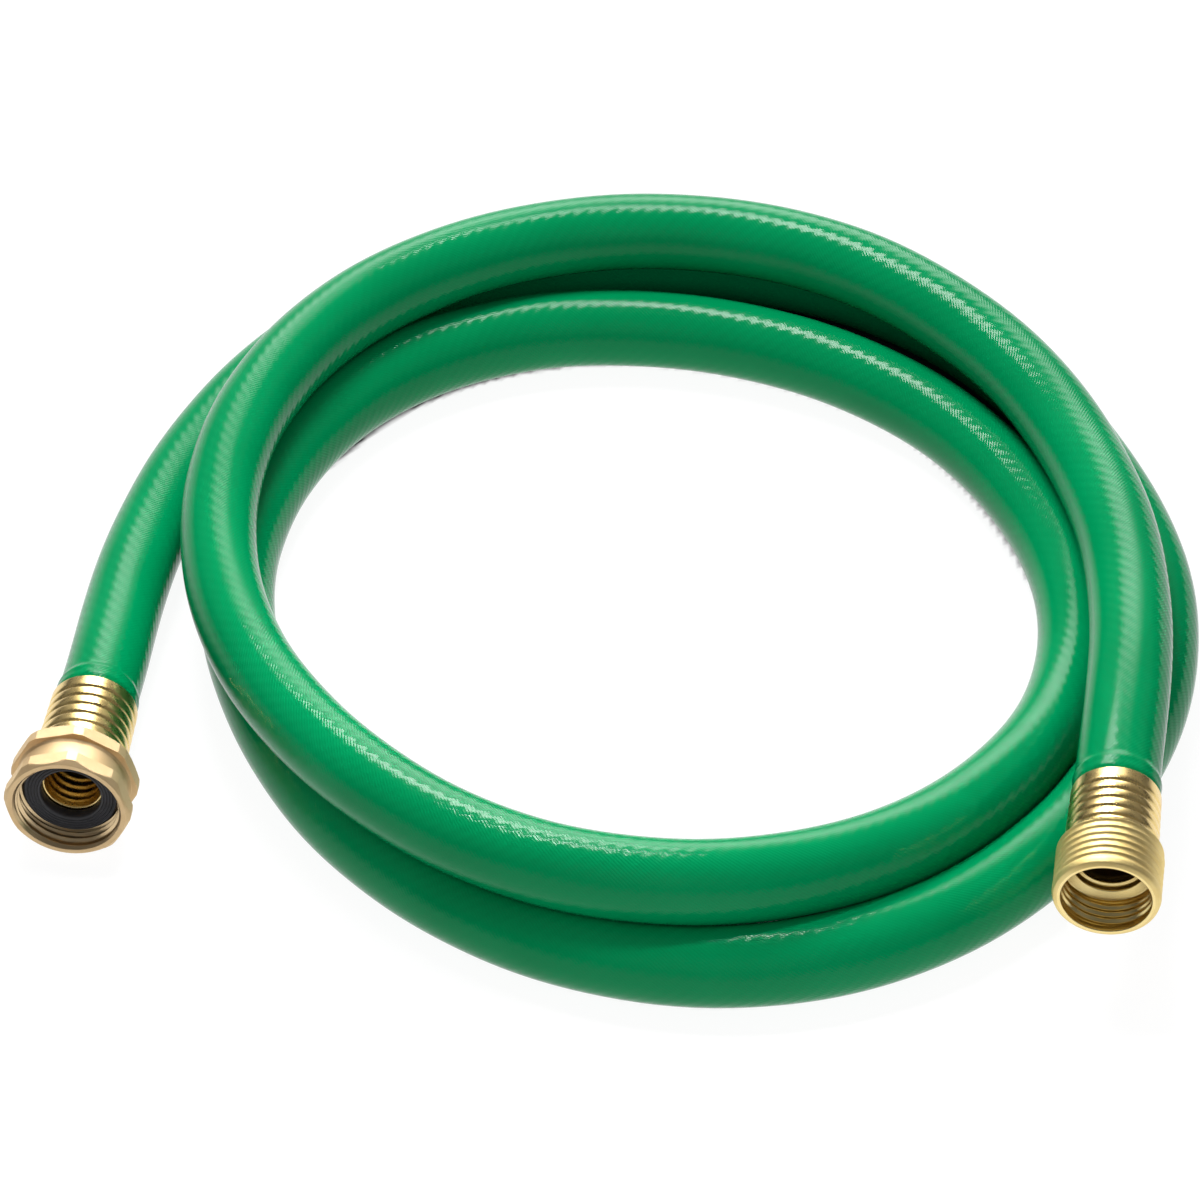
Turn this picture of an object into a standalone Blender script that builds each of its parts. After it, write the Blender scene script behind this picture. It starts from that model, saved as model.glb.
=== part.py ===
"""Short garden hose lying in loose rings on a level floor.

A green vinyl tube goes round about two and two-thirds times. One end has a
brass externally threaded coupling, the other a brass octagonal swivel nut
with a rubber washer. Each end is held by a ribbed brass sleeve.
Metres, +Z up, origin on the floor under the middle of the object.
"""
import math

import bmesh
import bpy
from mathutils import Matrix, Vector

MM = 0.001

# ------------------------------------------------------------- dimensions, mm
HOSE_R = 10.5           # outside of the tube
BORE_R = 7.95           # 5/8 in bore
CRIMP_R = 10.0          # tube squeezed under the sleeves
FLARE_R = 10.8          # slight swell just behind each sleeve
STEP = 26.5             # spacing of the tube's rings along the route
SIDES = 30              # sides of the turned brass pieces

SLEEVE_IN = 10.35       # inside of both ribbed sleeves
SLEEVE_BACK = 11.35     # rib crest at the hose side
SLEEVE_FRONT = 11.85    # rib crest at the coupling side
RIB_DEPTH = 0.45
MALE_RIBS = 5
FEMALE_RIBS = 6
MALE_SLEEVE_L = 18.2
FEMALE_SLEEVE_L = 23.8
MALE_HOSE_END = 15.4    # how far the tube reaches into each sleeve
FEMALE_HOSE_END = 21.0

STEM_R = 7.25           # tail pushed into the tube
STEM_BORE = 6.3

THREAD_R = 13.5         # 3/4 in hose thread, 27.0 mm across the crests
THREAD_ROOT = 12.45
THREAD_PITCH = 2.209    # 11.5 threads per inch
THREAD_TURNS = 6
MALE_L = 34.9

NUT_FLATS = 31.0        # across flats of the octagon
NUT_TURN = -6.5         # degrees that a corner stands off the top
NUT_BACK = 24.2         # back face, measured from the sleeve's rear edge
NUT_L = 14.6
NUT_BAND_R = 14.4       # round waist between the two octagonal flanges
NUT_BORE = 12.5         # thread minor radius
NUT_MOUTH = 14.0
LIP_R = 9.75            # inward lip that holds the nut on the tailpiece
NECK_R = 9.3
FLANGE_R = 11.9

WASHER_R = 12.1
WASHER_HOLE = 7.75
WASHER_L = 3.1

# Waypoints of the tube's centreline, from the male sleeve to the female one:
# x, y and the height above its level when it lies on the floor, all in mm.
ROUTE = [
    (80, -112, 24), (83, -89, 25.5), (86.5, -66, 25.5),         # male end
    (88.5, -29, 22.5), (86, 3, 20.5), (79, 32, 19), (67, 60.5, 19),  # right side, on top
    (46.5, 87.5, 20), (15.5, 112.5, 20), (-28, 124.5, 20),      # back, on top
    (-75.5, 117, 20), (-115.5, 90.5, 20),
    (-141, 46, 22), (-149, -5, 22), (-138.5, -56, 22),          # left side, on top
    (-110.5, -99.5, 22), (-69, -130, 21), (-19, -136.5, 18.5),  # front, on top
    (25.5, -117, 12), (54.5, -87, 7), (70, -55.5, 2),           # comes down inside
    (76.5, -25, 0), (75, 3, 0), (68, 27, 0), (56, 51, 0),       # right side, inner
    (39, 72, 0), (13.5, 91, 0), (-22, 104, 0), (-65, 105, 0),   # back, inner
    (-107.5, 84.5, 0), (-135.5, 44, 0), (-145, -5, 0),          # left side, inner
    (-135, -54.5, 0), (-110.5, -99.5, 0), (-71, -133.5, 0),     # front, outer
    (-21, -147.5, 0), (28.5, -136, 0), (65, -106, 0),
    (88, -69, 0), (98, -32, 0), (98, 3, 0), (89.5, 36, 0),      # right side, outer
    (76, 68, 0), (54, 100, 0), (19, 126, 0), (-32, 137, 0),     # back, outer
    (-87, 127, 0), (-129, 99, 0), (-158.5, 51, 0),              # back left, outer
    (-173, -3, 1.5), (-175.5, -30, 4), (-179, -59, 6.3),        # female end
]
SHIFT = (45.6, 5.2)    # brings the middle of the bounding box to the origin


# ------------------------------------------------------------------ the route
def catmull(points, per=12):
    """Centripetal spline through the waypoints."""
    pts = [2 * points[0] - points[1]] + points + [2 * points[-1] - points[-2]]
    out = []
    for i in range(1, len(pts) - 2):
        p0, p1, p2, p3 = pts[i - 1:i + 3]
        t0 = 0.0
        t1 = t0 + math.sqrt((p1 - p0).length)
        t2 = t1 + math.sqrt((p2 - p1).length)
        t3 = t2 + math.sqrt((p3 - p2).length)
        for k in range(per):
            t = t1 + (t2 - t1) * k / per
            a1 = p0 * ((t1 - t) / (t1 - t0)) + p1 * ((t - t0) / (t1 - t0))
            a2 = p1 * ((t2 - t) / (t2 - t1)) + p2 * ((t - t1) / (t2 - t1))
            a3 = p2 * ((t3 - t) / (t3 - t2)) + p3 * ((t - t2) / (t3 - t2))
            b1 = a1 * ((t2 - t) / (t2 - t0)) + a2 * ((t - t0) / (t2 - t0))
            b2 = a2 * ((t3 - t) / (t3 - t1)) + a3 * ((t - t1) / (t3 - t1))
            out.append(b1 * ((t2 - t) / (t2 - t1)) + b2 * ((t - t1) / (t2 - t1)))
    out.append(points[-1].copy())
    return out


def resample(points, count):
    """Points at equal distances along a polyline."""
    run = [0.0]
    for a, b in zip(points, points[1:]):
        run.append(run[-1] + (b - a).length)
    out, j = [], 0
    for i in range(count):
        s = run[-1] * i / (count - 1)
        while j < len(run) - 2 and run[j + 1] < s:
            j += 1
        f = (s - run[j]) / max(run[j + 1] - run[j], 1e-9)
        out.append(points[j].lerp(points[j + 1], min(max(f, 0.0), 1.0)))
    return out, run[-1]


def soften(points, reach):
    """Gaussian average along the line; both ends run on straight."""
    n = 3 * reach
    head, tail = points[0] - points[1], points[-1] - points[-2]
    long = ([points[0] + head * k for k in range(n, 0, -1)] + points
            + [points[-1] + tail * k for k in range(1, n + 1)])
    wts = [math.exp(-0.5 * (k / reach) ** 2) for k in range(-n, n + 1)]
    total = sum(wts)
    out = []
    for i in range(len(points)):
        acc = Vector((0, 0, 0))
        for w, p in zip(wts, long[i:i + 2 * n + 1]):
            acc += p * (w / total)
        out.append(acc)
    return out


def centreline():
    """Smooth centreline between the rear edges of the two sleeves, mm."""
    way = [Vector((x + SHIFT[0], y + SHIFT[1], HOSE_R + h)) for x, y, h in ROUTE]
    line, length = resample(catmull(way), 520)
    once = soften(line, 4)
    twice = soften(once, 4)
    line = [2 * a - b for a, b in zip(once, twice)]
    for p in line:
        p.z = max(p.z, HOSE_R)
    return line


LINE = centreline()


def end_axis(a, b, level):
    """Unit direction from b to a, laid level or left drooping."""
    d = a - b
    if level:
        d.z = 0.0
    return d.normalized()


MALE_SEAT, FEMALE_SEAT = LINE[0], LINE[-1]
MALE_AXIS = end_axis(LINE[0], LINE[3], False)
FEMALE_AXIS = end_axis(LINE[-1], LINE[-4], True)


# ------------------------------------------------------------------- builders
for old in list(bpy.data.objects):
    bpy.data.objects.remove(old, do_unlink=True)

PARTS = bpy.data.collections.new("garden_hose")
CUTTERS = bpy.data.collections.new("cutters")
bpy.context.scene.collection.children.link(PARTS)
bpy.context.scene.collection.children.link(CUTTERS)


def material(name, colour, rough, metal):
    m = bpy.data.materials.new(name)
    m.use_nodes = True
    b = m.node_tree.nodes["Principled BSDF"]
    b.inputs["Base Color"].default_value = (*colour, 1)
    b.inputs["Roughness"].default_value = rough
    b.inputs["Metallic"].default_value = metal
    return m


def frame(name, seat, axis):
    """Empty at an end of the tube, its Z along the fitting's axis, Y up."""
    e = bpy.data.objects.new(name, None)
    e.empty_display_size = 0.02
    e.location = seat * MM
    e.rotation_mode = "QUATERNION"
    e.rotation_quaternion = axis.to_track_quat("Z", "Y")
    PARTS.objects.link(e)
    return e


def smooth(ob, angle=35):
    ob.data.shade_smooth()
    ob.data.set_sharp_from_angle(angle=math.radians(angle))


def turned(name, profile, mat=None, parent=None, where=None, closed=True):
    """Profile of (radius, axial) points in mm, running down its outer side."""
    me = bpy.data.meshes.new(name)
    verts = [(r * MM, 0.0, z * MM) for r, z in profile]
    n = len(verts)
    edges = [(i, i + 1) for i in range(n - 1)] + ([(n - 1, 0)] if closed else [])
    me.from_pydata(verts, edges, [])
    ob = bpy.data.objects.new(name, me)
    (where or PARTS).objects.link(ob)
    sc = ob.modifiers.new("turn", "SCREW")
    sc.axis = "Z"
    sc.angle = math.tau
    sc.steps = sc.render_steps = SIDES
    sc.screw_offset = 0.0
    sc.use_merge_vertices = True
    sc.merge_threshold = 0.00002
    sc.use_smooth_shade = True
    if mat:
        me.materials.append(mat)
    if parent:
        ob.parent = parent
    return ob


def tube(name, stations, radius, where):
    """Tube along (point, radius factor) stations in mm, as a closed mesh."""
    cu = bpy.data.curves.new(name, "CURVE")
    cu.dimensions = "3D"
    cu.twist_mode = "Z_UP"
    cu.bevel_depth = radius * MM
    cu.bevel_resolution = 4
    cu.use_fill_caps = True
    sp = cu.splines.new("POLY")
    sp.points.add(len(stations) - 1)
    for pt, (p, f) in zip(sp.points, stations):
        pt.co = (*(p * MM), 1)
        pt.radius = f
    guide = bpy.data.objects.new(name + "_line", cu)
    where.objects.link(guide)
    bpy.context.view_layer.update()
    me = bpy.data.meshes.new_from_object(
        guide.evaluated_get(bpy.context.evaluated_depsgraph_get()))
    me.name = name
    bm = bmesh.new()
    bm.from_mesh(me)
    bmesh.ops.remove_doubles(bm, verts=bm.verts, dist=0.00001)
    bmesh.ops.recalc_face_normals(bm, faces=bm.faces)
    bm.to_mesh(me)
    bm.free()
    ob = bpy.data.objects.new(name, me)
    ob.matrix_world = guide.matrix_world
    where.objects.link(ob)
    bpy.data.objects.remove(guide, do_unlink=True)
    return ob


def cut(ob, cutter):
    cutter.hide_render = True
    cutter.display_type = "WIRE"
    b = ob.modifiers.new("cut_" + cutter.name, "BOOLEAN")
    b.operation = "DIFFERENCE"
    b.solver = "EXACT"
    b.object = cutter


# ------------------------------------------------------------------ materials
GREEN = material("hose_green", (0.0, 0.21, 0.09), 0.32, 0.0)
BRASS = material("brass_polished", (0.83, 0.64, 0.27), 0.22, 1.0)
SATIN = material("brass_satin", (0.80, 0.62, 0.36), 0.35, 1.0)
RUBBER = material("washer_rubber", (0.02, 0.02, 0.025), 0.55, 0.0)


def own(mat, name):
    m = mat.copy()
    m.name = name
    return m


# -------------------------------------------------------------------- the tube
def stations(squeeze, flare, beyond):
    """Rings of the tube: squeezed in each sleeve, swelling just behind it."""
    last = len(LINE) - 1
    length = sum((b - a).length for a, b in zip(LINE, LINE[1:]))

    def at(s):
        f = s / length * last
        i = min(max(int(f), 0), last - 1)
        return LINE[i].lerp(LINE[i + 1], f - i)

    out = [(MALE_SEAT + MALE_AXIS * (MALE_HOSE_END + beyond), squeeze),
           (MALE_SEAT - MALE_AXIS * 0.4, squeeze),
           (at(3.2), flare), (at(7.0), 1.0)]
    run = length - 14.0
    count = round(run / STEP)
    out += [(at(7.0 + run * k / count), 1.0) for k in range(1, count)]
    out += [(at(length - 7.0), 1.0), (at(length - 3.2), flare),
            (FEMALE_SEAT - FEMALE_AXIS * 0.4, squeeze),
            (FEMALE_SEAT + FEMALE_AXIS * (FEMALE_HOSE_END + beyond), squeeze)]
    return out


hose = tube("hose", stations(CRIMP_R / HOSE_R, FLARE_R / HOSE_R, 0.0), HOSE_R, PARTS)
hose.data.materials.append(GREEN)
smooth(hose, 40)
bore = tube("hose_bore", stations(1.0, 1.0, 2.0), BORE_R, CUTTERS)
cut(hose, bore)


# ------------------------------------------------------- ribbed brass sleeves
def sleeve(name, length, ribs, parent):
    """Sleeve crimped into rounded ribs, open at both ends."""
    first, last = 1.2, length - 1.6
    pitch = (last - first) / ribs

    def crest(z):
        return SLEEVE_BACK + (SLEEVE_FRONT - SLEEVE_BACK) * z / length

    outer = [(crest(length) - 0.35, length)]
    outer += [(crest(length), length - 0.5)]
    for k in range(ribs, 0, -1):
        top = first + k * pitch
        outer += [(crest(top) - RIB_DEPTH, top - 0.15 * pitch),
                  (crest(top) - RIB_DEPTH, top - 0.28 * pitch),
                  (crest(top), top - 0.48 * pitch),
                  (crest(top), top - 0.88 * pitch)]
    outer += [(crest(0) - 0.1, 0.3), (crest(0) - 0.4, 0.0)]
    inner = [(SLEEVE_IN, 0.0), (SLEEVE_IN, length)]
    return turned(name, outer + inner,own(BRASS, name + "_brass"), parent)


male_end = frame("male_end", MALE_SEAT, MALE_AXIS)
female_end = frame("female_end", FEMALE_SEAT, FEMALE_AXIS)
sleeve("male_ferrule", MALE_SLEEVE_L, MALE_RIBS, male_end)
sleeve("female_ferrule", FEMALE_SLEEVE_L, FEMALE_RIBS, female_end)


# ------------------------------------------------------ threaded male coupling
def thread_side(top):
    """Rounded thread crests, from the nose down to the sleeve."""
    out = []
    for k in range(THREAD_TURNS):
        z = top - k * THREAD_PITCH
        for f, r in ((0.12, THREAD_ROOT), (0.38, THREAD_R),
                     (0.62, THREAD_R), (0.88, THREAD_ROOT)):
            out.append((r, z - f * THREAD_PITCH))
    return out


male_profile = (
    [(11.1, MALE_L - 0.25), (11.5, MALE_L), (12.1, MALE_L), (12.9, MALE_L - 0.7),
     (13.25, MALE_L - 1.5), (13.3, MALE_L - 2.4)]
    + thread_side(MALE_L - 2.5)
    + [(12.1, MALE_SLEEVE_L + 0.9), (11.9, MALE_SLEEVE_L + 0.3), (9.9, MALE_SLEEVE_L + 0.3),
       (9.9, MALE_HOSE_END + 0.4), (STEM_R, MALE_HOSE_END + 0.4),
       (STEM_R, 3.0), (STEM_R - 0.4, 2.0), (STEM_BORE, 2.0),
       (STEM_BORE, 21.3), (9.0, 21.6), (9.1, 23.0), (11.4, 23.6),
       (11.5, MALE_L - 1.4), (11.1, MALE_L - 0.8)])
turned("male_coupling", male_profile, own(BRASS, "male_coupling_brass"), male_end)

# ------------------------------------------------- female tailpiece under the nut
FLANGE_Z = NUT_BACK + 2.2 + 0.4          # behind it sits the nut's lip
tail_profile = [
    (7.0, FLANGE_Z + 3.2), (FLANGE_R - 0.3, FLANGE_Z + 3.2), (FLANGE_R, FLANGE_Z + 2.9),
    (FLANGE_R, FLANGE_Z), (NECK_R, FLANGE_Z), (NECK_R, FEMALE_HOSE_END + 0.4),
    (STEM_R, FEMALE_HOSE_END + 0.4), (STEM_R, 3.0), (STEM_R - 0.4, 2.0),
    (STEM_BORE, 2.0), (STEM_BORE, FLANGE_Z - 1.0), (7.0, FLANGE_Z)]
turned("female_tailpiece", tail_profile, own(BRASS, "tailpiece_brass"), female_end)


# ------------------------------------------------------------------ swivel nut
pivot = frame("nut_pivot", FEMALE_SEAT, FEMALE_AXIS)


def octagon(name, parent):
    """Eight-sided bar, nearly corner down."""
    bm = bmesh.new()
    rad = NUT_FLATS / 2 / math.cos(math.pi / 8) * MM
    bmesh.ops.create_cone(bm, cap_ends=True, cap_tris=False, segments=8,
                          radius1=rad, radius2=rad, depth=NUT_L * MM)
    bmesh.ops.rotate(bm, verts=bm.verts, cent=(0, 0, 0),
                     matrix=Matrix.Rotation(math.radians(NUT_TURN), 3, "Z"))
    bmesh.ops.translate(bm, verts=bm.verts, vec=(0, 0, (NUT_BACK + NUT_L / 2) * MM))
    me = bpy.data.meshes.new(name)
    bm.to_mesh(me)
    bm.free()
    ob = bpy.data.objects.new(name, me)
    PARTS.objects.link(ob)
    ob.parent = parent
    return ob


nut = octagon("swivel_nut", pivot)
nut.data.materials.append(own(SATIN, "nut_brass"))
NUT_FRONT = NUT_BACK + NUT_L

# round waist between the flanges, with small shoulders
waist = turned("nut_waist_cutter", [
    (19.0, NUT_BACK + 10.4), (19.0, NUT_BACK + 3.5), (14.9, NUT_BACK + 3.5),
    (NUT_BAND_R, NUT_BACK + 4.1), (NUT_BAND_R, NUT_BACK + 9.8), (14.9, NUT_BACK + 10.4),
], parent=pivot, where=CUTTERS)
cut(nut, waist)

# bore: lip behind the flange, thread, countersunk mouth
passage = turned("nut_bore_cutter", [
    (0.0, NUT_FRONT + 2.0), (NUT_MOUTH, NUT_FRONT + 2.0), (NUT_MOUTH, NUT_FRONT - 0.1),
    (NUT_BORE, NUT_FRONT - 1.3), (NUT_BORE, NUT_BACK + 2.2), (LIP_R, NUT_BACK + 2.2),
    (LIP_R, NUT_BACK - 2.0), (0.0, NUT_BACK - 2.0),
], parent=pivot, where=CUTTERS, closed=False)
cut(nut, passage)
smooth(nut, 30)

# --------------------------------------------------------------- rubber washer
WASHER_Z = FLANGE_Z + 3.2 + 0.3
washer_profile = [
    (WASHER_HOLE + 0.3, WASHER_Z + WASHER_L), (WASHER_R - 0.4, WASHER_Z + WASHER_L),
    (WASHER_R, WASHER_Z + WASHER_L - 0.4), (WASHER_R, WASHER_Z + 0.4),
    (WASHER_R - 0.4, WASHER_Z), (WASHER_HOLE + 0.3, WASHER_Z),
    (WASHER_HOLE, WASHER_Z + 0.3), (WASHER_HOLE, WASHER_Z + WASHER_L - 0.3)]
turned("washer", washer_profile, RUBBER, pivot)
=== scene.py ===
"""Looks for a short garden hose lying in loose rings: green ribbed vinyl tube,
rolled brass male coupling, octagonal brass swivel nut and black washer."""
import math

import bpy
import numpy as np
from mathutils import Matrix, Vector


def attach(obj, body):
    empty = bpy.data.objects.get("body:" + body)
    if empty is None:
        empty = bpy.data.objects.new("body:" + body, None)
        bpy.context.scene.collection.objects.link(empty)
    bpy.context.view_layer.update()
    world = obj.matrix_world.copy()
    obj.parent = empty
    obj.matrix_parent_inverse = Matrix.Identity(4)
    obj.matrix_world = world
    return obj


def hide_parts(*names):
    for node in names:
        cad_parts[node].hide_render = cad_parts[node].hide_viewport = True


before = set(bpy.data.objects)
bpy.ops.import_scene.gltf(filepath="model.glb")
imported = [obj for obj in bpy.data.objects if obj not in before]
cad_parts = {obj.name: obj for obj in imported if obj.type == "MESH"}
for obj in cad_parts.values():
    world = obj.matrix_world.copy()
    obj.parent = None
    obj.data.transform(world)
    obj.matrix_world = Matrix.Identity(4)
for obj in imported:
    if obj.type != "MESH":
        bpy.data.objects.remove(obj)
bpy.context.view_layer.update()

MM = 0.001

# --------------------------------------------------------------- dimensions, mm
HOSE_R = 10.5
MALE_HOSE_END = 15.4
FEMALE_HOSE_END = 21.0
BORE_R = 7.95

MALE_SLEEVE_L = 18.2
FEMALE_SLEEVE_L = 23.8
THREAD_PITCH = 2.209
MALE_L = 34.9

NUT_FLATS = 31.0
NUT_TURN = -6.5
NUT_BACK = 24.2
NUT_L = 14.6
NUT_FRONT = NUT_BACK + NUT_L
NUT_BAND_R = 14.4
FLANGE_Z = NUT_BACK + 2.6
WASHER_Z = FLANGE_Z + 3.5
WASHER_L = 3.1

# Waypoints of the tube's centreline: x, y and height above its lying level, mm.
ROUTE = [
    (80, -112, 24), (83, -89, 25.5), (86.5, -66, 25.5),         # male end
    (88.5, -29, 22.5), (86, 3, 20.5), (79, 32, 19), (67, 60.5, 19),  # right side, on top
    (46.5, 87.5, 20), (15.5, 112.5, 20), (-28, 124.5, 20),      # back, on top
    (-75.5, 117, 20), (-115.5, 90.5, 20),
    (-141, 46, 22), (-149, -5, 22), (-138.5, -56, 22),          # left side, on top
    (-110.5, -99.5, 22), (-69, -130, 21), (-19, -136.5, 18.5),  # front, on top
    (25.5, -117, 12), (54.5, -87, 7), (70, -55.5, 2),           # comes down inside
    (76.5, -25, 0), (75, 3, 0), (68, 27, 0), (56, 51, 0),       # right side, inner
    (39, 72, 0), (13.5, 91, 0), (-22, 104, 0), (-65, 105, 0),   # back, inner
    (-107.5, 84.5, 0), (-135.5, 44, 0), (-145, -5, 0),          # left side, inner
    (-135, -54.5, 0), (-110.5, -99.5, 0), (-71, -133.5, 0),     # front, outer
    (-21, -147.5, 0), (28.5, -136, 0), (65, -106, 0),
    (88, -69, 0), (98, -32, 0), (98, 3, 0), (89.5, 36, 0),      # right side, outer
    (76, 68, 0), (54, 100, 0), (19, 126, 0), (-32, 137, 0),     # back, outer
    (-87, 127, 0), (-129, 99, 0), (-158.5, 51, 0),              # back left, outer
    (-173, -3, 1.5), (-175.5, -30, 4), (-179, -59, 6.3),        # female end
]
SHIFT = (45.6, 5.2)


# ------------------------------------------------------------------- the route
def catmull(points, per=12):
    pts = [2 * points[0] - points[1]] + points + [2 * points[-1] - points[-2]]
    out = []
    for i in range(1, len(pts) - 2):
        p0, p1, p2, p3 = pts[i - 1:i + 3]
        t0 = 0.0
        t1 = t0 + math.sqrt((p1 - p0).length)
        t2 = t1 + math.sqrt((p2 - p1).length)
        t3 = t2 + math.sqrt((p3 - p2).length)
        for k in range(per):
            t = t1 + (t2 - t1) * k / per
            a1 = p0 * ((t1 - t) / (t1 - t0)) + p1 * ((t - t0) / (t1 - t0))
            a2 = p1 * ((t2 - t) / (t2 - t1)) + p2 * ((t - t1) / (t2 - t1))
            a3 = p2 * ((t3 - t) / (t3 - t2)) + p3 * ((t - t2) / (t3 - t2))
            b1 = a1 * ((t2 - t) / (t2 - t0)) + a2 * ((t - t0) / (t2 - t0))
            b2 = a2 * ((t3 - t) / (t3 - t1)) + a3 * ((t - t1) / (t3 - t1))
            out.append(b1 * ((t2 - t) / (t2 - t1)) + b2 * ((t - t1) / (t2 - t1)))
    out.append(points[-1].copy())
    return out


def resample(points, count):
    run = [0.0]
    for a, b in zip(points, points[1:]):
        run.append(run[-1] + (b - a).length)
    out, j = [], 0
    for i in range(count):
        s = run[-1] * i / (count - 1)
        while j < len(run) - 2 and run[j + 1] < s:
            j += 1
        f = (s - run[j]) / max(run[j + 1] - run[j], 1e-9)
        out.append(points[j].lerp(points[j + 1], min(max(f, 0.0), 1.0)))
    return out, run[-1]


def soften(points, reach):
    n = 3 * reach
    head, tail = points[0] - points[1], points[-1] - points[-2]
    long = ([points[0] + head * k for k in range(n, 0, -1)] + points
            + [points[-1] + tail * k for k in range(1, n + 1)])
    wts = [math.exp(-0.5 * (k / reach) ** 2) for k in range(-n, n + 1)]
    total = sum(wts)
    out = []
    for i in range(len(points)):
        acc = Vector((0, 0, 0))
        for w, p in zip(wts, long[i:i + 2 * n + 1]):
            acc += p * (w / total)
        out.append(acc)
    return out


def centreline():
    way = [Vector((x + SHIFT[0], y + SHIFT[1], HOSE_R + h)) for x, y, h in ROUTE]
    line, length = resample(catmull(way), 520)
    once = soften(line, 4)
    twice = soften(once, 4)
    line = [2 * a - b for a, b in zip(once, twice)]
    for p in line:
        p.z = max(p.z, HOSE_R)
    return line


LINE = centreline()


def end_axis(a, b, level):
    d = a - b
    if level:
        d.z = 0.0
    return d.normalized()


MALE_SEAT, FEMALE_SEAT = LINE[0], LINE[-1]
MALE_AXIS = end_axis(LINE[0], LINE[3], False)
FEMALE_AXIS = end_axis(LINE[-1], LINE[-4], True)

# ---------------------------------------------------------------------- camera
cam_data = bpy.data.cameras.new("camera")
cam_data.lens = 178.0
cam_data.sensor_width = 36.0
cam_data.clip_start = 0.05
cam_data.clip_end = 50.0
cam = bpy.data.objects.new("camera", cam_data)
bpy.context.scene.collection.objects.link(cam)
cam.location = ((-48.62 + SHIFT[0]) * MM, (-1195.45 + SHIFT[1]) * MM, 1041.45 * MM)
cam.rotation_euler = (math.radians(90.0 - 41.0), 0.0, 0.0)
bpy.context.scene.camera = cam


# ------------------------------------------------------------- numeric helpers
def step(x, a, b):
    """Smooth 0 to 1 as x goes from a to b."""
    t = np.clip((np.asarray(x, float) - a) / (b - a), 0.0, 1.0)
    return t * t * (3 - 2 * t)


def bell(x, mid, half):
    return np.exp(-((np.asarray(x, float) - mid) / half) ** 2)


def link(ob):
    bpy.context.scene.collection.objects.link(ob)
    return ob


def grid_object(name, pts, wrap_rows, uv=None, caps=()):
    """Mesh of quads over pts[row, column]; columns always wrap, rows may."""
    rows, cols = pts.shape[:2]
    verts = pts.reshape(-1, 3)
    r = np.arange(rows if wrap_rows else rows - 1)
    c = np.arange(cols)
    R, C = np.meshgrid(r, c, indexing="ij")
    R2, C2 = (R + 1) % rows, (C + 1) % cols
    quads = np.stack([R * cols + C, R * cols + C2, R2 * cols + C2, R2 * cols + C],
                     axis=-1).reshape(-1, 4)
    me = bpy.data.meshes.new(name)
    me.vertices.add(len(verts))
    me.vertices.foreach_set("co", verts.astype(np.float32).ravel())
    me.loops.add(quads.size)
    me.loops.foreach_set("vertex_index", quads.astype(np.int32).ravel())
    me.polygons.add(len(quads))
    me.polygons.foreach_set("loop_start", (np.arange(len(quads)) * 4).astype(np.int32))
    me.update(calc_edges=True)
    if uv is not None:
        rowv, cols_n = uv
        u0, u1 = rowv[R], rowv[np.minimum(R + 1, rows - 1)] if not wrap_rows else rowv[R2]
        v0, v1 = C / cols, (C + 1) / cols
        co = np.stack([np.stack([u0, v0], -1), np.stack([u0, v1], -1),
                       np.stack([u1, v1], -1), np.stack([u1, v0], -1)], axis=2)
        layer = me.uv_layers.new(name="tube")
        layer.data.foreach_set("uv", co.astype(np.float32).ravel())
    me.shade_smooth()
    me.validate()
    return link(bpy.data.objects.new(name, me))


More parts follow.
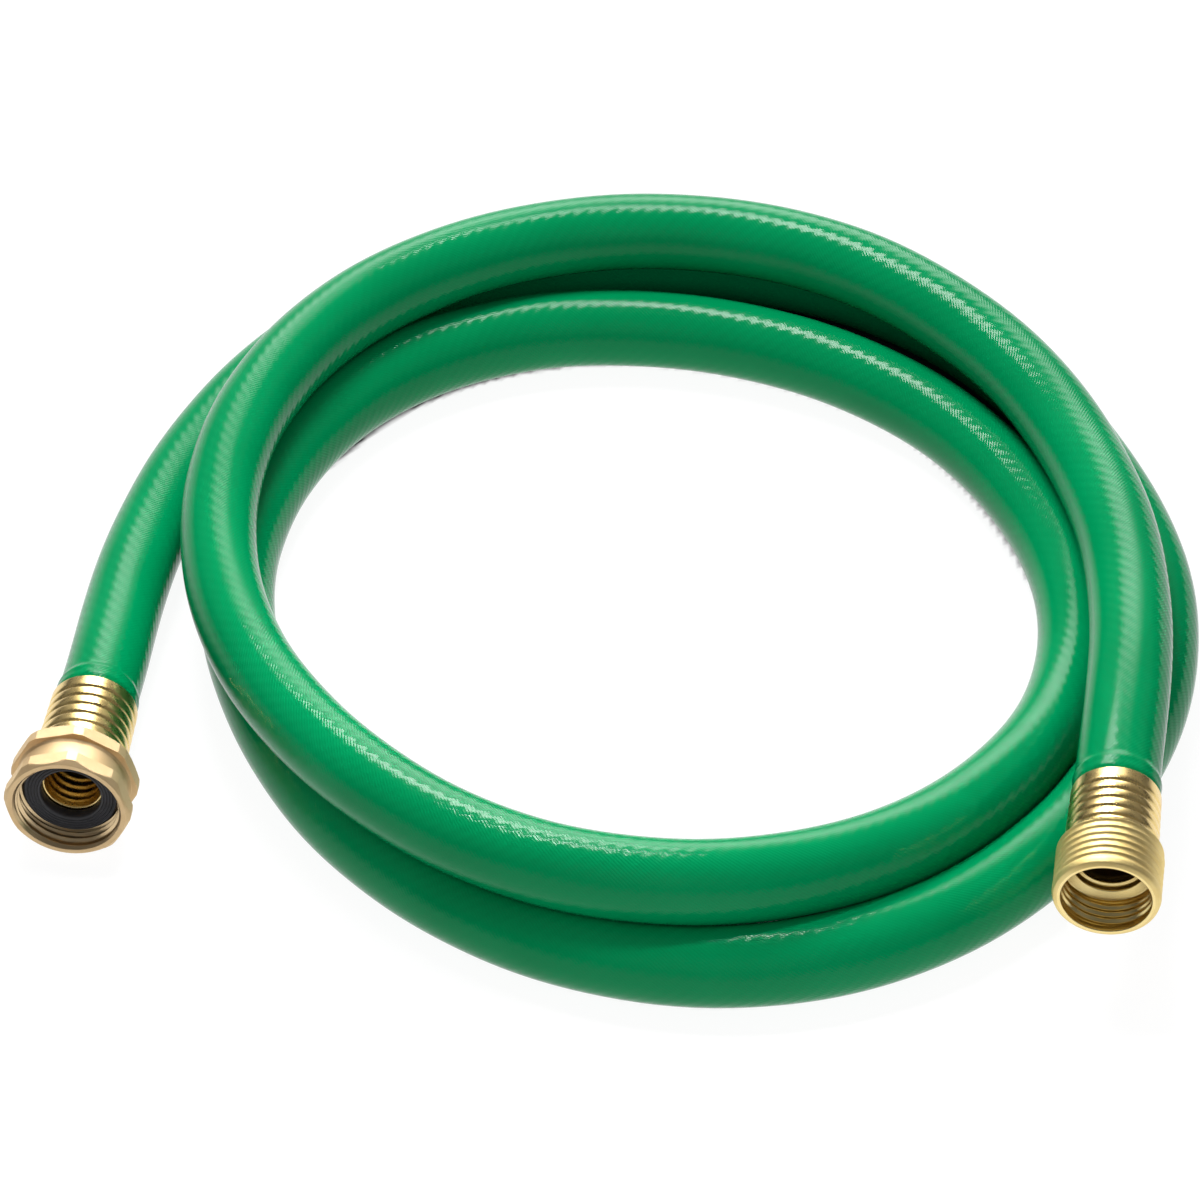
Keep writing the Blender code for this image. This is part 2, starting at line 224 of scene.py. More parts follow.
# ---------------------------------------------------------------------- nodes
class Nodes:
    """Small helper that builds a material's node tree."""

    def __init__(self, name):
        self.mat = bpy.data.materials.new(name)
        self.mat.use_nodes = True
        self.tree = self.mat.node_tree
        self.bsdf = self.tree.nodes["Principled BSDF"]

    def add(self, kind, **props):
        n = self.tree.nodes.new(kind)
        for k, v in props.items():
            setattr(n, k, v)
        return n

    def join(self, a, b):
        self.tree.links.new(a, b)

    def math(self, op, a, b=None, c=None, clamp=False):
        n = self.add("ShaderNodeMath", operation=op, use_clamp=clamp)
        for i, v in enumerate((a, b, c)):
            if v is None:
                continue
            if isinstance(v, (int, float)):
                n.inputs[i].default_value = v
            else:
                self.join(v, n.inputs[i])
        return n.outputs[0]

    def noise(self, vector, scale, detail=3.0, rough=0.5):
        n = self.add("ShaderNodeTexNoise")
        n.inputs["Scale"].default_value = scale
        n.inputs["Detail"].default_value = detail
        n.inputs["Roughness"].default_value = rough
        if vector is not None:
            self.join(vector, n.inputs["Vector"])
        return n.outputs["Fac"]

    def ramp(self, fac, stops, interp="LINEAR"):
        n = self.add("ShaderNodeValToRGB")
        n.color_ramp.interpolation = interp
        els = n.color_ramp.elements
        while len(els) < len(stops):
            els.new(0.5)
        for e, (p, c) in zip(els, stops):
            e.position = p
            e.color = (*c, 1) if len(c) == 3 else c
        self.join(fac, n.inputs["Fac"])
        return n.outputs["Color"]

    def mix(self, fac, a, b, blend="MIX"):
        n = self.add("ShaderNodeMix", data_type="RGBA", blend_type=blend)
        for sock, v in ((n.inputs[0], fac), (n.inputs[6], a), (n.inputs[7], b)):
            if isinstance(v, (int, float)):
                sock.default_value = v
            elif isinstance(v, tuple):
                sock.default_value = (*v, 1)
            else:
                self.join(v, sock)
        return n.outputs[2]

    def range(self, v, a, b, c, d):
        n = self.add("ShaderNodeMapRange")
        for i, x in enumerate((a, b, c, d)):
            n.inputs[i + 1].default_value = x
        self.join(v, n.inputs[0])
        return n.outputs[0]

    def bump(self, height, distance, strength=1.0, normal=None):
        n = self.add("ShaderNodeBump")
        n.inputs["Distance"].default_value = distance
        n.inputs["Strength"].default_value = strength
        self.join(height, n.inputs["Height"])
        if normal is not None:
            self.join(normal, n.inputs["Normal"])
        return n.outputs["Normal"]

    def set(self, **values):
        for k, v in values.items():
            sock = self.bsdf.inputs[k.replace("_", " ")]
            if isinstance(v, (int, float)):
                sock.default_value = v
            elif isinstance(v, tuple):
                sock.default_value = (*v, 1) if len(v) == 3 else v
            else:
                self.join(v, sock)


# ------------------------------------------------------------- green vinyl tube
def vinyl():
    n = Nodes("green_vinyl")
    uv = n.add("ShaderNodeUVMap", uv_map="tube")
    sep = n.add("ShaderNodeSeparateXYZ")
    n.join(uv.outputs["UV"], sep.inputs[0])
    run = n.math("MULTIPLY", sep.outputs["X"], 100.0)       # mm along the tube
    turn = sep.outputs["Y"]                                 # 0 to 1 round it
    geo = n.add("ShaderNodeTexCoord").outputs["Object"]

    def rib(pitch, starts, sharp):
        """Helical family of ribs showing through from the knitted yarn."""
        ph = n.math("SUBTRACT", n.math("DIVIDE", run, pitch),
                    n.math("MULTIPLY", turn, float(starts)))
        w = n.math("COSINE", n.math("MULTIPLY", ph, math.tau))
        w = n.math("MULTIPLY_ADD", w, 0.5, 0.5)
        return n.math("POWER", w, sharp)

    right = rib(1.15, 68, 0.8)
    left = rib(4.2, -16, 1.0)
    waves = n.noise(geo, 260.0, 2.0, 0.5)
    patch = n.noise(geo, 35.0, 2.0, 0.5)
    knit = n.math("MULTIPLY_ADD", left, 1.5, right)
    knit = n.math("MULTIPLY", knit, n.range(patch, 0.3, 0.7, 0.75, 1.2))
    knit = n.math("MULTIPLY_ADD", waves, 0.4, knit)
    normal = n.bump(knit, 0.022 * MM, 1.0)
    skin = n.noise(geo, 1500.0, 2.0, 0.6)
    normal = n.bump(skin, 0.004 * MM, 0.7, normal)

    tone = n.noise(geo, 18.0, 3.0, 0.55)
    colour = n.mix(n.range(tone, 0.3, 0.7, 0.0, 1.0),
                   (0.0, 0.182, 0.059), (0.0, 0.217, 0.073))
    colour = n.mix(n.range(right, 0.0, 1.0, 0.15, 0.0), colour, (0.0, 0.11, 0.031))
    n.set(Base_Color=colour, Normal=normal,
          Roughness=n.range(n.noise(geo, 120.0, 3.0, 0.6), 0.3, 0.7, 0.11, 0.17))
    n.bsdf.inputs["Specular IOR Level"].default_value = 0.11
    n.bsdf.inputs["IOR"].default_value = 1.5
    return n.mat


def brass(name, base, deep, low, high, lathe, inside=None, bore=None):
    """Turned brass: fine lathe lines round the axis, faint tone changes.

    inside is (radius mm, roughness) of a shinier inner surface; bore is
    (radius mm, depth mm) below which the deep bore is made rougher and its colour painted dark brown, as
    painted shade.
    """
    n = Nodes(name)
    geo = n.add("ShaderNodeTexCoord").outputs["Object"]
    sep = n.add("ShaderNodeSeparateXYZ")
    n.join(geo, sep.inputs[0])
    radial = n.math("SQRT", n.math("ADD", n.math("MULTIPLY", sep.outputs["X"], sep.outputs["X"]),
                                   n.math("MULTIPLY", sep.outputs["Y"], sep.outputs["Y"])))
    line = n.add("ShaderNodeCombineXYZ")
    n.join(radial, line.inputs[0])
    n.join(sep.outputs["Z"], line.inputs[1])
    cuts = n.noise(line.outputs[0], 9000.0, 3.0, 0.7)
    tone = n.noise(geo, 140.0, 4.0, 0.55)
    colour = n.mix(n.range(tone, 0.35, 0.68, 0.0, 1.0), base, deep)
    rough = n.math("ADD", n.range(n.noise(geo, 420.0, 3.0, 0.6), 0.3, 0.7, low, high),
                   n.math("MULTIPLY", cuts, 0.05))
    if inside:
        rough = n.math("ADD", rough, n.math("MULTIPLY", n.range(radial, (inside[0] - 0.15) * MM, inside[0] * MM, 1.0, 0.0),
                                            n.math("SUBTRACT", inside[1], rough)))
    if bore:
        # painted shade: deep in the bore the colour is mixed to dark brown for the darkness inside, and the
        # surface is made rougher
        bore_shade_and_dullness = n.math("MULTIPLY", n.range(radial, (bore[0] - 0.1) * MM, bore[0] * MM, 1.0, 0.0),
                         n.range(sep.outputs["Z"], (bore[1] - 2.0) * MM, bore[1] * MM, 1.0, 0.0))
        colour = n.mix(bore_shade_and_dullness, colour, (0.10, 0.062, 0.03))
        rough = n.math("MULTIPLY_ADD", bore_shade_and_dullness, 0.35, rough, clamp=True)
    normal = n.bump(cuts, 0.0016 * MM * lathe, 1.0)
    normal = n.bump(n.noise(geo, 260.0, 3.0, 0.5), 0.012 * MM, 0.6, normal)
    n.set(Base_Color=colour, Roughness=rough, Normal=normal)
    n.bsdf.inputs["Metallic"].default_value = 1.0
    return n.mat


def rubber():
    n = Nodes("washer_rubber")
    geo = n.add("ShaderNodeTexCoord").outputs["Object"]
    grain = n.noise(geo, 2600.0, 3.0, 0.65)
    bloom = n.noise(geo, 260.0, 3.0, 0.5)
    n.set(Base_Color=n.mix(n.range(bloom, 0.35, 0.7, 0.0, 1.0), (0.012, 0.012, 0.014), (0.026, 0.026, 0.03)),
          Roughness=n.range(bloom, 0.3, 0.7, 0.42, 0.58),
          Normal=n.bump(grain, 0.012 * MM, 0.8))
    n.bsdf.inputs["Specular IOR Level"].default_value = 0.45
    return n.mat


VINYL = vinyl()
POLISHED = brass("polished_brass", (0.88, 0.67, 0.29), (0.84, 0.61, 0.24), 0.22, 0.29, 1.0)
# stem brass, with painted shade deep inside its bore
STEM = brass("stem_brass", (0.88, 0.67, 0.29), (0.84, 0.61, 0.24), 0.22, 0.29, 1.0,
             bore=(7.2, 20.4))
SATIN = brass("satin_brass", (0.75, 0.575, 0.345), (0.71, 0.53, 0.30), 0.60, 0.68, 2.0,
              inside=(14.0, 0.33))
# male coupling brass, with painted shade deep inside its bore
TUMBLED = brass("tumbled_brass", (0.90, 0.73, 0.34), (0.86, 0.67, 0.28), 0.50, 0.58, 1.5,
                inside=(12.2, 0.27), bore=(8.6, 21.2))
RUBBER = rubber()


# --------------------------------------------------------------------- the tube
def vec(v):
    return np.array([v.x, v.y, v.z])


def tube():
    """Oval tube along the route, flattened a little where it lies on something."""
    fine = catmull(LINE, 4)
    length = sum((b - a).length for a, b in zip(fine, fine[1:]))
    dense_line, length = resample(fine, 6001)
    s = np.concatenate([np.arange(0.0, 12.0, 0.45), np.arange(12.0, length - 12.0, 1.5),
                        length - np.arange(12.0, 0.0, -0.45), [length]])
    way = np.array([vec(p) for p in dense_line])
    mid = np.stack([np.interp(s, np.linspace(0.0, length, len(way)), way[:, k])
                    for k in range(3)], axis=1)
    male, female = vec(MALE_AXIS), vec(FEMALE_AXIS)
    back = np.array([MALE_HOSE_END, 12.0, 8.0, 4.0, 1.6, 0.8])
    head = mid[0] + back[:, None] * male
    on = np.array([0.8, 1.6, 4.0, 9.0, 15.0, FEMALE_HOSE_END])
    tail = mid[-1] + on[:, None] * female
    c = np.vstack([head, mid, tail])
    s = np.concatenate([-back, s, length + on])

    tangent = np.gradient(c, s, axis=0)
    tangent /= np.linalg.norm(tangent, axis=1)[:, None]
    up = np.array([0, 0, 1.0]) - tangent * tangent[:, 2:3]
    up /= np.linalg.norm(up, axis=1)[:, None]
    left = np.cross(up, tangent)

    # half width and half height of the section
    key = np.array([-30, 0, 110, 230, 380, 1500, 1900, 2030, 2110, length, length + 30])
    wide = np.interp(s, key, [10.7, 10.75, 10.7, 10.35, 10.0, 10.0, 10.1, 10.2, 10.4, 10.45, 10.4])
    high = np.interp(s, key, [10.7, 10.75, 10.8, 10.85, 10.95, 10.95, 10.8, 10.6, 10.5, 10.45, 10.4])
    around = 56
    th = np.arange(around) / around * math.tau
    ex = np.cos(th)[None, :, None] * left[:, None, :]
    ey = np.sin(th)[None, :, None] * up[:, None, :]
    radial = ex + ey
    off = ex * wide[:, None, None] + ey * high[:, None, None]

    # long, shallow unevenness of a soft tube
    S, T = np.meshgrid(s, th, indexing="ij")
    lump = (0.05 * np.sin(S / 23.0 + 2.0 * T) + 0.04 * np.sin(S / 11.3 - T + 1.3)
            + 0.03 * np.sin(S / 6.1 + 3 * T + 0.4))
    # swelling and a faint raised ring behind each sleeve
    for seat, sign in ((0.0, 1.0), (length, -1.0)):
        d = (S - seat) * sign
        lump += 0.36 * step(d, 0.0, 1.6) * (1 - step(d, 4.0, 6.4)) + 0.14 * bell(d, 4.1, 0.8)
        inside = step(-d, -0.9, 0.5)
        lump -= inside * (np.interp(S, s, wide) - 10.0)
    off = off + radial * lump[:, :, None]

    # flat contact where strands press on each other
    gap = np.linalg.norm(c[:, None, :] - c[None, :, :], axis=2)
    for i in range(len(c)):
        near = np.where((gap[i] < 24.0) & (np.abs(s - s[i]) > 70.0))[0]
        if not len(near):
            continue
        for run in np.split(near, np.where(np.diff(near) > 1)[0] + 1):
            j = run[np.argmin(gap[i][run])]
            d = c[j] - c[i]
            dist = np.linalg.norm(d)
            u = d / dist
            lim = dist / 2 - 0.03
            swell = 0.6 * (1 - step(dist, 22.6, 24.0))
            off[i] += radial[i] * (swell * np.clip(radial[i] @ u, 0.0, 1.0) ** 6)[:, None]
            over = off[i] @ u - lim
            over = np.where(over > 0, over, 0.0)
            off[i] -= over[:, None] * u
    pts = c[:, None, :] + off
    pts[:, :, 2] = np.maximum(pts[:, :, 2], 0.05)

    # outer skin, both ends, and the bore back to the start
    ns = len(c)
    pick = np.unique(np.concatenate([[0], np.arange(2, ns - 1, 5), [ns - 1]]))
    inner_n = around // 2
    ti = np.arange(inner_n) / inner_n * math.tau
    ring = (np.cos(ti)[None, :, None] * left[pick][:, None, :]
            + np.sin(ti)[None, :, None] * up[pick][:, None, :])
    bore = c[pick][:, None, :] + ring * BORE_R

    verts = np.vstack([pts.reshape(-1, 3), bore.reshape(-1, 3)]) * MM
    base = ns * around
    faces, uvs = [], []
    su = s / 100.0

    def quad(a, b, c_, d, ua, ub, va, vb):
        faces.append((a, b, c_, d))
        uvs.extend([(ua, va), (ua, vb), (ub, vb), (ub, va)])

    for i in range(ns - 1):
        for j in range(around):
            k = (j + 1) % around
            quad(i * around + j, i * around + k, (i + 1) * around + k, (i + 1) * around + j,
                 su[i], su[i + 1], j / around, (j + 1) / around)
    for r in range(len(pick) - 1):
        for j in range(inner_n):
            k = (j + 1) % inner_n
            faces.append((base + r * inner_n + j, base + (r + 1) * inner_n + j,
                          base + (r + 1) * inner_n + k, base + r * inner_n + k))
            uvs.extend([(su[pick[r]], j / inner_n), (su[pick[r + 1]], j / inner_n),
                        (su[pick[r + 1]], (j + 1) / inner_n), (su[pick[r]], (j + 1) / inner_n)])
    for row, inrow, flip in ((0, 0, True), (ns - 1, len(pick) - 1, False)):
        for j in range(inner_n):
            k = (j + 1) % inner_n
            o0, o1, o2 = row * around + 2 * j, row * around + 2 * j + 1, row * around + (2 * j + 2) % around
            i0, i1 = base + inrow * inner_n + j, base + inrow * inner_n + k
            for tri in ((o0, o1, i0), (o1, o2, i1), (i0, o1, i1)):
                faces.append(tuple(reversed(tri)) if flip else tri)
                uvs.extend([(su[row], j / inner_n)] * 3)
    me = bpy.data.meshes.new("hose_tube")
    me.from_pydata(verts.tolist(), [], faces)
    layer = me.uv_layers.new(name="tube")
    layer.data.foreach_set("uv", np.array(uvs, np.float32).ravel())
    me.shade_smooth()
    me.set_sharp_from_angle(angle=math.radians(50))
    me.materials.append(VINYL)
    ob = link(bpy.data.objects.new("hose_tube", me))
    return ob, (c * MM).tolist(), s[-1] - s[0]


hose, ring_centres, hose_length = tube()


# ------------------------------------------------------------- turned fittings
def outline(points):
    """Closed profile from (radius, axial, fillet) corners, mm, with round fillets."""
    out = []
    n = len(points)
    for i, (x, y, f) in enumerate(points):
        p = np.array([x, y], float)
        if f <= 0:
            out.append(p)
            continue
        a, b = np.array(points[i - 1][:2], float), np.array(points[(i + 1) % n][:2], float)
        u, v = a - p, b - p
        lu, lv = np.linalg.norm(u), np.linalg.norm(v)
        u, v = u / lu, v / lv
        ang = math.acos(max(-1.0, min(1.0, float(u @ v))))
        t = min(f / math.tan(ang / 2), 0.48 * lu, 0.48 * lv)
        rad = t * math.tan(ang / 2)
        mid = (u + v) / np.linalg.norm(u + v)
        c = p + mid * rad / math.sin(ang / 2)
        p0, p1 = p + u * t - c, p + v * t - c
        a0, a1 = math.atan2(p0[1], p0[0]), math.atan2(p1[1], p1[0])
        d = (a1 - a0 + math.pi) % math.tau - math.pi
        k = max(2, int(math.ceil(abs(d) / math.radians(18))))
        for j in range(k + 1):
            t_ = a0 + d * j / k
            out.append(c + rad * np.array([math.cos(t_), math.sin(t_)]))
    return np.array(out)


def dense(profile, most):
    """Splits a closed profile's long sides."""
    out = []
    for a, b in zip(profile, np.roll(profile, -1, axis=0)):
        k = max(1, int(math.ceil(np.linalg.norm(b - a) / most)))
        for j in range(k):
            out.append(a + (b - a) * j / k)
    return np.array(out)


def seat_matrix(seat, axis):
    m = axis.to_track_quat("Z", "Y").to_matrix().to_4x4()
    m.translation = seat * MM
    return m


def turned(name, profile, seat, axis, mat, around=128, shape=None, angles=None, sharp=None):
    """Turns a closed (radius, axial) profile; shape(r, z, angle) may bend it."""
    th = np.arange(around) / around * math.tau if angles is None else np.asarray(angles)
    r = np.repeat(profile[:, :1], len(th), axis=1)
    z = np.repeat(profile[:, 1:2], len(th), axis=1)
    T = np.repeat(th[None, :], len(profile), axis=0)
    if shape is not None:
        r, z = shape(r, z, T)
    pts = np.stack([r * np.cos(T), r * np.sin(T), z], axis=-1) * MM
    ob = grid_object(name, pts, True)
    if sharp:
        ob.data.set_sharp_from_angle(angle=math.radians(sharp))
    ob.data.materials.append(mat)
    ob.matrix_world = seat_matrix(seat, axis)
    return ob


def sleeve_profile(length, back_r, front_r, grooves):
    """Thin sleeve rolled into gently rounded ribs with narrow grooves between."""
    z = np.arange(0.35, length - 0.3, 0.11)
    crest = back_r + (front_r - back_r) * z / length
    d = np.min(np.abs(z[:, None] - np.array(grooves)[None, :]), axis=1)
    r = crest - 0.42 * np.exp(-(d / 0.34) ** 2) - 0.20 * (1 - np.minimum(d / 1.5, 1.0)) ** 2
    outer = np.stack([r, z], axis=1)
    head = [(10.35, 0.0), (back_r - 0.75, 0.0), (back_r - 0.42, 0.06), (back_r - 0.2, 0.2)]
    tail = [(front_r - 0.05, length - 0.25), (front_r - 0.25, length - 0.08),
            (front_r - 0.6, length), (10.35, length)]
    return np.vstack([head, outer, tail])


male_sleeve = turned("male_ferrule_brass",
                     sleeve_profile(MALE_SLEEVE_L, 11.35, 11.85, [4.4, 7.4, 10.4, 13.5, 16.6]),
                     MALE_SEAT, MALE_AXIS, POLISHED, 144)
female_sleeve = turned("female_ferrule_brass",
                       sleeve_profile(FEMALE_SLEEVE_L, 11.35, 11.85,
                                      [4.0, 7.4, 10.8, 14.2, 17.6, 21.0]),
                       FEMALE_SEAT, FEMALE_AXIS, POLISHED, 144)


def ridge(phase, power):
    """Rounded thread ridge, 0 in the groove and 1 on the crest."""
    return (0.5 - 0.5 * np.cos(math.tau * phase)) ** power


# male coupling: rolled sheet brass, so the thread shows inside too
male_profile = dense(outline([
    (9.9, MALE_HOSE_END + 0.4, 0.0), (9.9, MALE_SLEEVE_L + 0.3, 0.0),
    (11.8, MALE_SLEEVE_L + 0.3, 0.2), (12.5, MALE_SLEEVE_L + 0.8, 0.3),
    (13.4, MALE_SLEEVE_L + 1.4, 0.3), (13.4, MALE_L - 3.0, 0.8), (13.55, MALE_L - 1.9, 1.2),
    (13.2, MALE_L - 0.6, 0.9), (12.2, MALE_L, 0.6),
    (11.3, MALE_L, 0.4), (11.2, MALE_L - 1.1, 0.5), (11.75, MALE_L - 1.9, 0.5),
    (11.75, 24.3, 0.5), (9.3, 23.2, 0.35), (9.0, 21.9, 0.3),
    (8.2, 21.6, 0.2), (8.0, 17.4, 0.3), (6.3, 15.6, 0.3), (6.3, 2.0, 0.1),
    (6.85, 2.0, 0.1), (7.25, 3.0, 0.1), (7.25, MALE_HOSE_END + 0.4, 0.0)]), 0.16)
male_profile = male_profile[np.r_[True, np.linalg.norm(np.diff(male_profile, axis=0), axis=1) > 1e-4]]


def male_shape(r, z, th):
    lo, hi = MALE_SLEEVE_L + 0.9, MALE_L - 3.1
    fade = step(z, lo, lo + 0.9) * (1 - step(z, hi, hi + 1.0))
    h = ridge((z - 18.15) / THREAD_PITCH - th / math.tau, 3.0)
    outer = (r > 12.7) & (z > MALE_SLEEVE_L + 0.8)
    inner = (r > 11.3) & (r < 12.2) & (z > 24.0) & (z < MALE_L - 1.2)
    r = np.where(outer, r + 0.10 * fade - (1 - h) * 0.50 * fade, r)
    fin = step(z, 24.2, 25.2) * (1 - step(z, MALE_L - 3.0, MALE_L - 2.0))
    g = ridge((z - 18.15) / THREAD_PITCH - th / math.tau, 0.8)
    r = np.where(inner, r - (1 - g) * 0.75 * fin + 0.1 * fin, r)
    return r, z


male = turned("male_coupling_brass", male_profile, MALE_SEAT, MALE_AXIS, TUMBLED, 160,
              male_shape, sharp=38)


# tailpiece: flange under the washer, rolled rings inside the stem
tail_profile = dense(outline([
    (7.25, 21.4, 0.0), (9.3, 21.4, 0.0), (9.3, FLANGE_Z, 0.1), (11.9, FLANGE_Z, 0.2),
    (11.9, FLANGE_Z + 3.2, 0.3), (7.3, FLANGE_Z + 3.2, 0.5), (6.9, FLANGE_Z + 1.0, 0.3),
    (6.3, 16.0, 0.3), (6.3, 2.0, 0.1), (6.85, 2.0, 0.1), (7.25, 3.0, 0.1)]), 0.18)


def tail_shape(r, z, th):
    bore = (r < 7.15) & (z > 15.5)
    fade = step(z, 15.5, 17.0) * (1 - step(z, FLANGE_Z + 0.6, FLANGE_Z + 2.0))
    r = np.where(bore, r - 0.38 * fade * ridge((z - 16.2) / 2.6, 1.4) + 0.25 * fade, r)
    return r, z


tail = turned("female_tailpiece_brass", tail_profile, FEMALE_SEAT, FEMALE_AXIS, STEM, 96,
              tail_shape, sharp=38)

# swivel nut: octagonal bar, round waist, thread inside
NB, NF = NUT_BACK, NUT_FRONT
nut_profile = dense(outline([
    (9.75, NB, 0.15), (17.2, NB, 0.0), (17.2, NB + 3.7, 0.0), (14.75, NB + 4.0, 0.25),
    (NUT_BAND_R, NB + 4.9, 0.6), (NUT_BAND_R, NB + 9.3, 0.6), (14.75, NB + 10.2, 0.25),
    (17.2, NB + 10.4, 0.0), (17.2, NF, 0.0),
    (14.0, NF, 0.2), (13.45, NF - 0.8, 0.3), (13.3, NB + 8.6, 0.3), (12.5, NB + 8.2, 0.2),
    (12.5, NB + 2.2, 0.2), (9.75, NB + 2.2, 0.15)]), 0.16)
half = []
for a in (22.5, 21.5, 20.5, 19.4, 18.3, 18.0, 17.6, 14.0, 11.5, 9.0, 6.5, 4.0, 2.0):
    half.append(a)
sector = [-a for a in half] + [0.0] + half[::-1][:-1]
nut_angles = np.radians(np.array(sorted((NUT_TURN + 90.0 + 22.5 + 45.0 * k + a) % 360.0
                                        for k in range(8) for a in sector)))


def nut_shape(r, z, th):
    flat = math.radians(NUT_TURN + 90.0 + 22.5)
    ph = (th - flat + math.pi / 8) % (math.pi / 4) - math.pi / 8
    hexa = np.minimum(NUT_FLATS / 2 / np.cos(ph), 16.3)
    face_b = 15.4 + (z - NB) * 1.35
    face_f = 15.15 + (NF - z) * 0.9
    lim = np.minimum(np.minimum(hexa, face_b), face_f)
    r = np.where(r > 14.2, np.minimum(r, lim), r)
    # internal thread
    lo, hi = NB + 8.8, NF - 0.9
    fade = step(z, lo, lo + 0.8) * (1 - step(z, hi - 0.9, hi + 0.2))
    h = ridge((z - lo) / THREAD_PITCH - th / math.tau, 2.4)
    inner = (r < 13.5) & (z > NB + 8.3)
    r = np.where(inner, r - 0.85 * h * fade + 0.15 * fade, r)
    return r, z


nut = turned("swivel_nut_brass", nut_profile, FEMALE_SEAT, FEMALE_AXIS, SATIN,
             shape=nut_shape, angles=nut_angles, sharp=18.6)

# washer with fine concentric ridges on its face
wz = WASHER_Z + WASHER_L
face_r = np.arange(11.5, 8.35, -0.08)
face = [(r_, wz - 0.16 + 0.15 * math.cos(math.tau * (r_ - 8.4) / 0.78)) for r_ in face_r]
washer_profile = np.array([(7.95, WASHER_Z), (11.7, WASHER_Z), (12.0, WASHER_Z + 0.12), (12.1, WASHER_Z + 0.4),
                           (12.1, wz - 0.4), (12.0, wz - 0.12), (11.75, wz)] + face
                          + [(8.25, wz - 0.05), (8.0, wz - 0.14), (7.82, wz - 0.4), (7.75, wz - 0.8),
                             (7.75, WASHER_Z + 0.3)])
washer = turned("washer_rubber", washer_profile, FEMALE_SEAT, FEMALE_AXIS, RUBBER, 128)

# --------------------------------------------------------- riding on the bodies, imported parts hidden
for ob, body, slot, node in (
        (hose, "hose", "hose", "hose"),
        (male_sleeve, "hose", "brass", "male_ferrule"),
        (male, "hose", "brass", "male_coupling"),
        (female_sleeve, "hose", "brass", "female_ferrule"),
        (tail, "hose", "brass", "female_tailpiece"),
        (nut, "swivel_nut", "nut_brass", "swivel_nut"),
        (washer, "swivel_nut", "washer", "washer")):
    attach(ob, body)
    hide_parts(node)

# ------------------------------------------------------------------ floor, light
near = np.arange(-0.192, 0.1921, 0.0016)
side = np.concatenate([[-6.0, -1.0, -0.3], near, [0.3, 1.0, 6.0]])
FX, FY = np.meshgrid(side, side, indexing="ij")
centres = np.array(ring_centres[::3]) / MM
low = np.where(centres[:, 2] < 20.0)[0]
strand = centres[low]
raised = centres[(centres[:, 2] > 14.5) & (centres[:, 2] < 30.0) & (centres[:, 0] > -90.0)]
spot = np.stack([FX.ravel(), FY.ravel()], axis=1) / MM
# painted shadow on the floor: under low strands, between strands lying close together and under raised strands
shade = np.zeros(len(spot))
for i, q in enumerate(spot):
    if abs(q[0]) > 190 or abs(q[1]) > 190:
        continue
    d = np.hypot(strand[:, 0] - q[0], strand[:, 1] - q[1])
    k = int(np.argmin(d))
    away = np.abs(low - low[k]) > 25
    both = d[k] + d[away].min()
    aloft = np.hypot(raised[:, 0] - q[0], raised[:, 1] - q[1])
    j = int(np.argmin(aloft))
    outward = math.hypot(q[0] - 10.0, q[1]) - math.hypot(raised[j, 0] - 10.0, raised[j, 1])
    over = aloft[j] + 20.0 * step(outward, 0.0, 5.0)
    reach = 24.5 + 11.5 * step(q[1], -10.0, 20.0) * step(q[0], -95.0, -70.0)
    shade[i] = max(1 - step(d[k], 1.5, 4.2), 1 - step(both, reach - 1.5, reach + 1.5),
                   1 - step(over, 13.0, 18.0))
floor_mesh = bpy.data.meshes.new("floor")
cells = len(side)
floor_mesh.from_pydata([(x, y, -0.0002) for x, y in zip(FX.ravel(), FY.ravel())], [],
                       [(i * cells + j, (i + 1) * cells + j, (i + 1) * cells + j + 1, i * cells + j + 1)
                        for i in range(cells - 1) for j in range(cells - 1)])
floor_mesh.attributes.new("open", "FLOAT", "POINT").data.foreach_set("value", (1 - shade).astype(np.float32))
floor = link(bpy.data.objects.new("floor", floor_mesh))
# the floor glows white; where the painted shadow lies, its glow is taken away and its colour darkened
n = Nodes("floor_white")
lit = n.add("ShaderNodeAttribute", attribute_name="open").outputs["Fac"]
n.set(Base_Color=n.mix(lit, (0.02, 0.02, 0.02), (0.10, 0.10, 0.10)), Roughness=0.9,
      Emission_Color=(1.0, 1.0, 1.0), Emission_Strength=n.math("MULTIPLY", lit, 0.93))
n.bsdf.inputs["Specular IOR Level"].default_value = 0.0
floor_mesh.materials.append(n.mat)

world = bpy.data.worlds.new("studio")
bpy.context.scene.world = world
world.use_nodes = True
sky = world.node_tree
split = sky.nodes.new("ShaderNodeSeparateXYZ")
sky.links.new(sky.nodes.new("ShaderNodeTexCoord").outputs["Generated"], split.inputs[0])


def fade(sock, a, b, c, d):
    """Smooth change from c to d as the socket goes from a to b."""
    m = sky.nodes.new("ShaderNodeMapRange")
    m.interpolation_type = "SMOOTHSTEP"
    for i, x in enumerate((a, b, c, d)):
        m.inputs[i + 1].default_value = x
    sky.links.new(sock, m.inputs[0])
    return m.outputs[0]


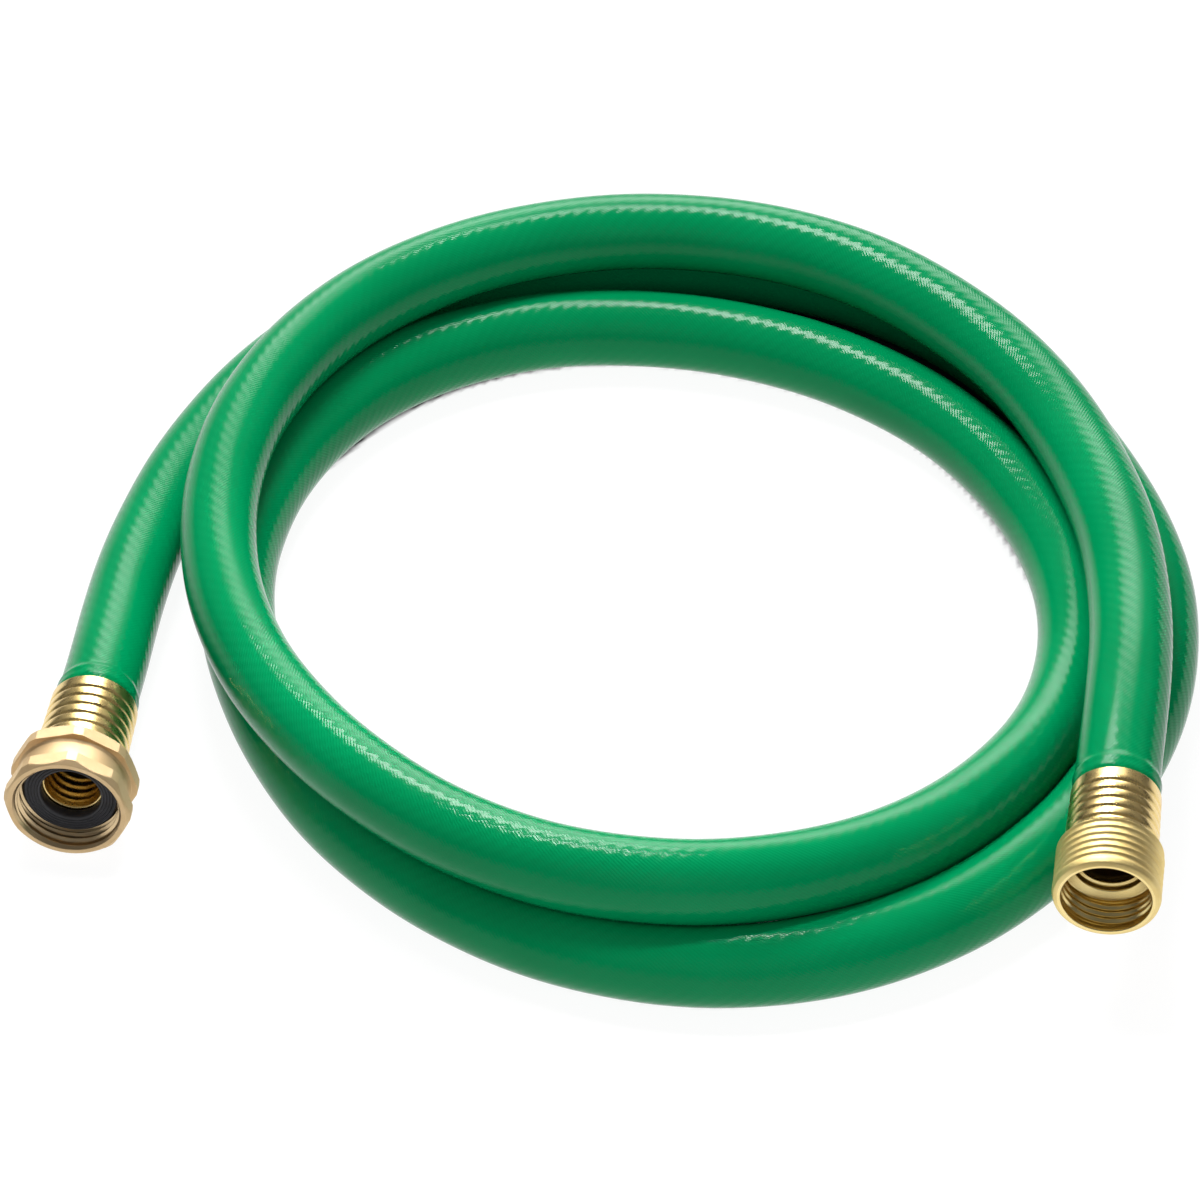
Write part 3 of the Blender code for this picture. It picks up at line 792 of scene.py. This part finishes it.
# pale wall behind, dark ceiling and dark room on the camera's side
wall = sky.nodes.new("ShaderNodeMath")
wall.operation = "MULTIPLY"
sky.links.new(fade(split.outputs["Y"], -0.1, 0.45, 0.8, 1.0), wall.inputs[0])
sky.links.new(fade(split.outputs["Z"], 0.42, 0.72, 1.0, 0.55), wall.inputs[1])
glow = sky.nodes.new("ShaderNodeMath")
glow.operation = "MULTIPLY"
glow.inputs[1].default_value = 0.26
aside = sky.nodes.new("ShaderNodeMath")
aside.operation = "ABSOLUTE"
sky.links.new(split.outputs["X"], aside.inputs[0])
flank = sky.nodes.new("ShaderNodeMath")
flank.operation = "MULTIPLY"
sky.links.new(fade(aside.outputs[0], 0.36, 0.58, 0.0, 0.9), flank.inputs[0])
sky.links.new(fade(split.outputs["Z"], 0.20, 0.42, 1.0, 0.0), flank.inputs[1])
rest = sky.nodes.new("ShaderNodeMath")
rest.operation = "SUBTRACT"
rest.inputs[0].default_value = 1.0
sky.links.new(flank.outputs[0], rest.inputs[1])
both = sky.nodes.new("ShaderNodeMath")
both.operation = "MULTIPLY"
sky.links.new(wall.outputs[0], both.inputs[0])
sky.links.new(rest.outputs[0], both.inputs[1])
sky.links.new(both.outputs[0], glow.inputs[0])
sky.nodes["Background"].inputs["Color"].default_value = (1, 1, 1, 1)

# tall soft panel behind the rings, brightest in its middle
across = sky.nodes.new("ShaderNodeMath")
across.operation = "SUBTRACT"
across.inputs[1].default_value = 0.03
sky.links.new(split.outputs["X"], across.inputs[0])
wide = sky.nodes.new("ShaderNodeMath")
wide.operation = "ABSOLUTE"
sky.links.new(across.outputs[0], wide.inputs[0])
panel = None
for sock, a, b, c, d in ((wide.outputs[0], 0.12, 0.34, 7.2, 0.0), (split.outputs["Z"], 0.14, 0.34, 0.0, 1.0),
                         (split.outputs["Z"], 0.60, 0.76, 1.0, 0.0), (split.outputs["Y"], 0.0, 0.1, 0.0, 1.0)):
    part = fade(sock, a, b, c, d)
    if panel is not None:
        times = sky.nodes.new("ShaderNodeMath")
        times.operation = "MULTIPLY"
        sky.links.new(panel, times.inputs[0])
        sky.links.new(part, times.inputs[1])
        part = times.outputs[0]
    panel = part
total = sky.nodes.new("ShaderNodeMath")
total.operation = "ADD"
sky.links.new(glow.outputs[0], total.inputs[0])
sky.links.new(panel, total.inputs[1])
sky.links.new(total.outputs[0], sky.nodes["Background"].inputs["Strength"])


def softbox(name, place, aim, wide, tall, radiance):
    """Rectangular light of a given radiance, turned towards a point."""
    data = bpy.data.lights.new(name, "AREA")
    data.shape = "RECTANGLE"
    data.size, data.size_y = wide, tall
    data.energy = radiance * math.pi * wide * tall
    ob = link(bpy.data.objects.new(name, data))
    ob.location = place
    ob.rotation_mode = "QUATERNION"
    ob.rotation_quaternion = (Vector(aim) - Vector(place)).to_track_quat("-Z", "Y")
    return ob


softbox("key_box", (-0.08, 0.32, 0.62), (0.0, 0.0, 0.02), 0.30, 0.17, 35.0)
lip = softbox("key_front", (-0.05, 0.04, 0.62), (-0.02, -0.14, 0.03), 0.26, 0.045, 4.8)
lip.data.spread = math.radians(45.0)
overhead = softbox("overhead", (0.0, -0.35, 2.0), (0.0, 0.0, 0.0), 2.6, 2.6, 0.4)
overhead.visible_glossy = False
fill = softbox("front_fill", (0.1, -2.4, 1.5), (0.0, 0.0, 0.0), 2.0, 2.0, 2.5)
fill.visible_glossy = False

bpy.context.scene.view_settings.view_transform = "Standard"
